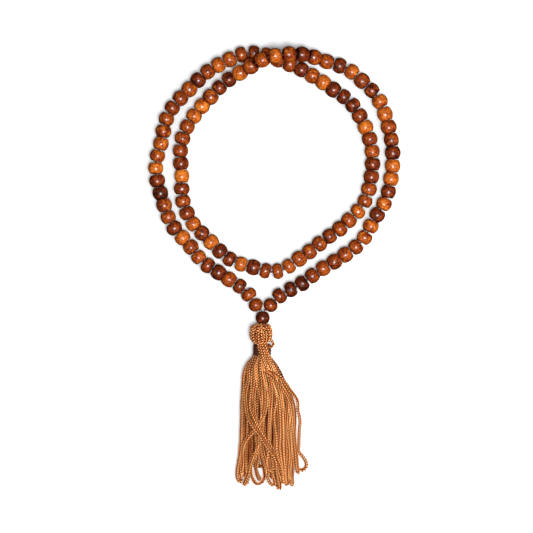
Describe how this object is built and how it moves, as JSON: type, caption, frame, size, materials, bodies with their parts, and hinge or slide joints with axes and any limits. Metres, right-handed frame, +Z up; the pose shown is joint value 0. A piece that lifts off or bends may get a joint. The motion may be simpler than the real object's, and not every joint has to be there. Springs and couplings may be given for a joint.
{
  "type": "mala prayer beads",
  "caption": "Doubled strand of small round wooden prayer beads, closed by a guru bead and a tassel of looped cords.",
  "frame": {"origin": "on the table below the middle of the whole object's box", "axes": "+Y from the tassel to the far end of the strand, +Z up from the table, +X to the right seen from above"},
  "size_m": [0.1355, 0.2387, 0.0174],
  "materials": {
    "bead_wood": "oiled and polished reddish brown hardwood, from light orange to nearly black",
    "guru_wood": "polished dark brown hardwood",
    "stringing_thread": "waxed dark brown thread",
    "tassel_cord": "lustrous copper chainette cord",
    "binding_thread": "smooth darker copper thread"
  },
  "bodies": {
    "strand": {"stringing_thread": "stringing_thread", "beads_023_to_038": "bead_wood", "beads_039_to_054": "bead_wood", "beads_055_to_070": "bead_wood", "beads_071_to_086": "bead_wood"},
    "guru": {"guru_bead": "guru_wood", "guru_thread": "stringing_thread"},
    "tassel": {"string_knot": "stringing_thread", "tassel_head": "tassel_cord", "neck_binding": "binding_thread", "binding_tail": "binding_thread", "tassel_skirt": "tassel_cord"},
    "bead_001": {"bead_001": "bead_wood"},
    "bead_002": {"bead_002": "bead_wood"},
    "bead_003": {"bead_003": "bead_wood"},
    "bead_004": {"bead_004": "bead_wood"},
    "bead_005": {"bead_005": "bead_wood"},
    "bead_006": {"bead_006": "bead_wood"},
    "bead_007": {"bead_007": "bead_wood"},
    "bead_008": {"bead_008": "bead_wood"},
    "bead_009": {"bead_009": "bead_wood"},
    "bead_010": {"bead_010": "bead_wood"},
    "bead_011": {"bead_011": "bead_wood"},
    "bead_012": {"bead_012": "bead_wood"},
    "bead_013": {"bead_013": "bead_wood"},
    "bead_014": {"bead_014": "bead_wood"},
    "bead_015": {"bead_015": "bead_wood"},
    "bead_016": {"bead_016": "bead_wood"},
    "bead_017": {"bead_017": "bead_wood"},
    "bead_018": {"bead_018": "bead_wood"},
    "bead_019": {"bead_019": "bead_wood"},
    "bead_020": {"bead_020": "bead_wood"},
    "bead_021": {"bead_021": "bead_wood"},
    "bead_022": {"bead_022": "bead_wood"},
    "bead_087": {"bead_087": "bead_wood"},
    "bead_088": {"bead_088": "bead_wood"},
    "bead_089": {"bead_089": "bead_wood"},
    "bead_090": {"bead_090": "bead_wood"},
    "bead_091": {"bead_091": "bead_wood"},
    "bead_092": {"bead_092": "bead_wood"},
    "bead_093": {"bead_093": "bead_wood"},
    "bead_094": {"bead_094": "bead_wood"},
    "bead_095": {"bead_095": "bead_wood"},
    "bead_096": {"bead_096": "bead_wood"},
    "bead_097": {"bead_097": "bead_wood"},
    "bead_098": {"bead_098": "bead_wood"},
    "bead_099": {"bead_099": "bead_wood"},
    "bead_100": {"bead_100": "bead_wood"},
    "bead_101": {"bead_101": "bead_wood"},
    "bead_102": {"bead_102": "bead_wood"},
    "bead_103": {"bead_103": "bead_wood"},
    "bead_104": {"bead_104": "bead_wood"},
    "bead_105": {"bead_105": "bead_wood"},
    "bead_106": {"bead_106": "bead_wood"},
    "bead_107": {"bead_107": "bead_wood"},
    "bead_108": {"bead_108": "bead_wood"}
  },
  "joints": [
    {"name": "tassel_swing", "type": "hinge", "parent": "strand", "child": "guru", "pos_m": [-0.0066, -0.0269, 0.0041], "axis": [0, 0, 1], "range_deg": [-60, 60]},
    {"name": "tassel_lift", "type": "hinge", "parent": "guru", "child": "tassel", "pos_m": [-0.0066, -0.0269, 0.0041], "axis": [-1, 0, 0], "range_deg": [-70, 70]},
    {"name": "bead_001_spin", "type": "hinge", "parent": "strand", "child": "bead_001", "pos_m": [-0.01035, -0.01994, 0.0044], "axis": [-0.5226, 0.8526, 0], "continuous": true},
    {"name": "bead_002_spin", "type": "hinge", "parent": "strand", "child": "bead_002", "pos_m": [-0.01406, -0.01437, 0.0044], "axis": [-0.5845, 0.8114, 0], "continuous": true},
    {"name": "bead_003_spin", "type": "hinge", "parent": "strand", "child": "bead_003", "pos_m": [-0.0189, -0.00988, 0.0044], "axis": [-0.8505, 0.526, 0], "continuous": true},
    {"name": "bead_004_spin", "type": "hinge", "parent": "strand", "child": "bead_004", "pos_m": [-0.02465, -0.00621, 0.0044], "axis": [-0.8356, 0.5493, 0], "continuous": true},
    {"name": "bead_005_spin", "type": "hinge", "parent": "strand", "child": "bead_005", "pos_m": [-0.03036, -0.0025, 0.0044], "axis": [-0.8413, 0.5405, 0], "continuous": true},
    {"name": "bead_006_spin", "type": "hinge", "parent": "strand", "child": "bead_006", "pos_m": [-0.03609, 0.0012, 0.0044], "axis": [-0.839, 0.5442, 0], "continuous": true},
    {"name": "bead_007_spin", "type": "hinge", "parent": "strand", "child": "bead_007", "pos_m": [-0.041, 0.00572, 0.0044], "axis": [-0.6109, 0.7917, 0], "continuous": true},
    {"name": "bead_008_spin", "type": "hinge", "parent": "strand", "child": "bead_008", "pos_m": [-0.04514, 0.01107, 0.0044], "axis": [-0.6116, 0.7912, 0], "continuous": true},
    {"name": "bead_009_spin", "type": "hinge", "parent": "strand", "child": "bead_009", "pos_m": [-0.04964, 0.01613, 0.0044], "axis": [-0.7141, 0.7001, 0], "continuous": true},
    {"name": "bead_010_spin", "type": "hinge", "parent": "strand", "child": "bead_010", "pos_m": [-0.05408, 0.02126, 0.0044], "axis": [-0.5905, 0.807, 0], "continuous": true},
    {"name": "bead_011_spin", "type": "hinge", "parent": "strand", "child": "bead_011", "pos_m": [-0.05733, 0.02717, 0.0044], "axis": [-0.3645, 0.9312, 0], "continuous": true},
    {"name": "bead_012_spin", "type": "hinge", "parent": "strand", "child": "bead_012", "pos_m": [-0.05953, 0.0336, 0.0044], "axis": [-0.2826, 0.9592, 0], "continuous": true},
    {"name": "bead_013_spin", "type": "hinge", "parent": "strand", "child": "bead_013", "pos_m": [-0.06151, 0.04012, 0.0044], "axis": [-0.3002, 0.9539, 0], "continuous": true},
    {"name": "bead_014_spin", "type": "hinge", "parent": "strand", "child": "bead_014", "pos_m": [-0.06326, 0.0467, 0.0044], "axis": [-0.2118, 0.9773, 0], "continuous": true},
    {"name": "bead_015_spin", "type": "hinge", "parent": "strand", "child": "bead_015", "pos_m": [-0.06402, 0.05342, 0.0044], "axis": [-0.012, 0.9999, 0], "continuous": true},
    {"name": "bead_016_spin", "type": "hinge", "parent": "strand", "child": "bead_016", "pos_m": [-0.06307, 0.06007, 0.0044], "axis": [0.2921, 0.9564, 0], "continuous": true},
    {"name": "bead_017_spin", "type": "hinge", "parent": "strand", "child": "bead_017", "pos_m": [-0.06121, 0.06659, 0.0044], "axis": [0.2548, 0.967, 0], "continuous": true},
    {"name": "bead_018_spin", "type": "hinge", "parent": "strand", "child": "bead_018", "pos_m": [-0.0599, 0.07325, 0.0044], "axis": [0.1308, 0.9914, 0], "continuous": true},
    {"name": "bead_019_spin", "type": "hinge", "parent": "strand", "child": "bead_019", "pos_m": [-0.05828, 0.07981, 0.0044], "axis": [0.347, 0.9379, 0], "continuous": true},
    {"name": "bead_020_spin", "type": "hinge", "parent": "strand", "child": "bead_020", "pos_m": [-0.05514, 0.08577, 0.0044], "axis": [0.5771, 0.8167, 0], "continuous": true},
    {"name": "bead_021_spin", "type": "hinge", "parent": "strand", "child": "bead_021", "pos_m": [-0.05077, 0.09096, 0.0044], "axis": [0.7067, 0.7075, 0], "continuous": true},
    {"name": "bead_022_spin", "type": "hinge", "parent": "strand", "child": "bead_022", "pos_m": [-0.04599, 0.09581, 0.0044], "axis": [0.697, 0.7171, 0], "continuous": true},
    {"name": "bead_087_spin", "type": "hinge", "parent": "strand", "child": "bead_087", "pos_m": [0.05197, 0.09519, 0.0044], "axis": [0.7289, -0.6846, 0.0011], "continuous": true},
    {"name": "bead_088_spin", "type": "hinge", "parent": "strand", "child": "bead_088", "pos_m": [0.05626, 0.08933, 0.0044], "axis": [0.4338, -0.901, -0.0002], "continuous": true},
    {"name": "bead_089_spin", "type": "hinge", "parent": "strand", "child": "bead_089", "pos_m": [0.059, 0.08245, 0.0044], "axis": [0.3037, -0.9528, -0.0003], "continuous": true},
    {"name": "bead_090_spin", "type": "hinge", "parent": "strand", "child": "bead_090", "pos_m": [0.061, 0.07551, 0.0044], "axis": [0.2486, -0.9686, 0.0001], "continuous": true},
    {"name": "bead_091_spin", "type": "hinge", "parent": "strand", "child": "bead_091", "pos_m": [0.06243, 0.06865, 0.0044], "axis": [0.1591, -0.9873, 0.0001], "continuous": true},
    {"name": "bead_092_spin", "type": "hinge", "parent": "strand", "child": "bead_092", "pos_m": [0.06316, 0.06169, 0.0044], "axis": [0.0501, -0.9987, 0], "continuous": true},
    {"name": "bead_093_spin", "type": "hinge", "parent": "strand", "child": "bead_093", "pos_m": [0.06311, 0.05468, 0.0044], "axis": [-0.0659, -0.9978, 0], "continuous": true},
    {"name": "bead_094_spin", "type": "hinge", "parent": "strand", "child": "bead_094", "pos_m": [0.06229, 0.04772, 0.0044], "axis": [-0.167, -0.986, 0], "continuous": true},
    {"name": "bead_095_spin", "type": "hinge", "parent": "strand", "child": "bead_095", "pos_m": [0.0609, 0.04085, 0.0044], "axis": [-0.2296, -0.9733, 0], "continuous": true},
    {"name": "bead_096_spin", "type": "hinge", "parent": "strand", "child": "bead_096", "pos_m": [0.05851, 0.03433, 0.0044], "axis": [-0.4535, -0.8913, 0], "continuous": true},
    {"name": "bead_097_spin", "type": "hinge", "parent": "strand", "child": "bead_097", "pos_m": [0.05488, 0.02839, 0.0044], "axis": [-0.5883, -0.8087, 0], "continuous": true},
    {"name": "bead_098_spin", "type": "hinge", "parent": "strand", "child": "bead_098", "pos_m": [0.05141, 0.02235, 0.0044], "axis": [-0.401, -0.9161, 0], "continuous": true},
    {"name": "bead_099_spin", "type": "hinge", "parent": "strand", "child": "bead_099", "pos_m": [0.04807, 0.01623, 0.0044], "axis": [-0.5531, -0.8331, 0], "continuous": true},
    {"name": "bead_100_spin", "type": "hinge", "parent": "strand", "child": "bead_100", "pos_m": [0.0434, 0.01114, 0.0044], "axis": [-0.7828, -0.6222, 0], "continuous": true},
    {"name": "bead_101_spin", "type": "hinge", "parent": "strand", "child": "bead_101", "pos_m": [0.03773, 0.00702, 0.0044], "axis": [-0.8335, -0.5526, 0], "continuous": true},
    {"name": "bead_102_spin", "type": "hinge", "parent": "strand", "child": "bead_102", "pos_m": [0.03184, 0.0032, 0.0044], "axis": [-0.8443, -0.5358, 0], "continuous": true},
    {"name": "bead_103_spin", "type": "hinge", "parent": "strand", "child": "bead_103", "pos_m": [0.02579, -0.00034, 0.0044], "axis": [-0.8813, -0.4725, 0], "continuous": true},
    {"name": "bead_104_spin", "type": "hinge", "parent": "strand", "child": "bead_104", "pos_m": [0.02004, -0.00424, 0.0044], "axis": [-0.7638, -0.6454, 0], "continuous": true},
    {"name": "bead_105_spin", "type": "hinge", "parent": "strand", "child": "bead_105", "pos_m": [0.01455, -0.00847, 0.0044], "axis": [-0.8195, -0.5731, 0], "continuous": true},
    {"name": "bead_106_spin", "type": "hinge", "parent": "strand", "child": "bead_106", "pos_m": [0.00843, -0.01164, 0.0044], "axis": [-0.9395, -0.3426, 0], "continuous": true},
    {"name": "bead_107_spin", "type": "hinge", "parent": "strand", "child": "bead_107", "pos_m": [0.00249, -0.0151, 0.0044], "axis": [-0.7616, -0.648, 0], "continuous": true},
    {"name": "bead_108_spin", "type": "hinge", "parent": "strand", "child": "bead_108", "pos_m": [-0.00238, -0.02008, 0.0044], "axis": [-0.6317, -0.7752, 0], "continuous": true}
  ]
}
